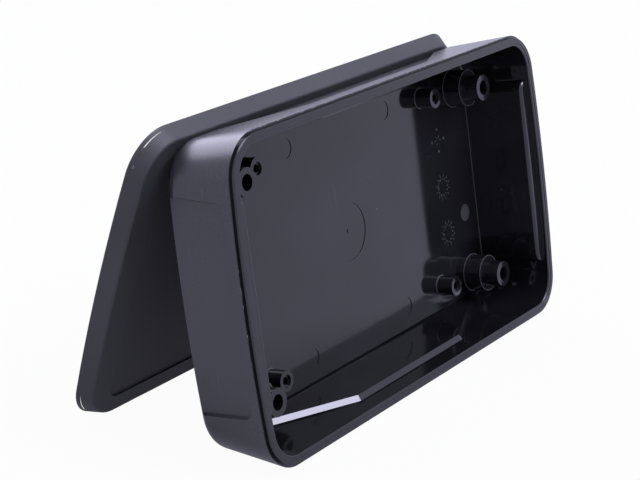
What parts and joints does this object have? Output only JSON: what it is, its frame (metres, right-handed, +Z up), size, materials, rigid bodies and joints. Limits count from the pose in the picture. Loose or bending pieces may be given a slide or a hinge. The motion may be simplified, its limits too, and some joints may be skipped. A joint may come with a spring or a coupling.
{
  "type": "plastic enclosure",
  "caption": "Two-part moulded plastic housing taken apart: a deep tray with screw columns and board stand-offs leaning on its shallow cover.",
  "frame": {"origin": "middle of the footprint on the floor", "axes": "+X along the long sides, +Z up; the open side of the base shell looks towards -Y"},
  "size_m": [0.1458, 0.0631, 0.0799],
  "materials": {
    "base_plastic": "black ABS, polished inside, fine satin outside",
    "cover_plastic": "black ABS with a fine spark-eroded texture"
  },
  "bodies": {
    "root": {"base_shell": "base_plastic", "cover_shell": "cover_plastic"}
  },
  "joints": []
}
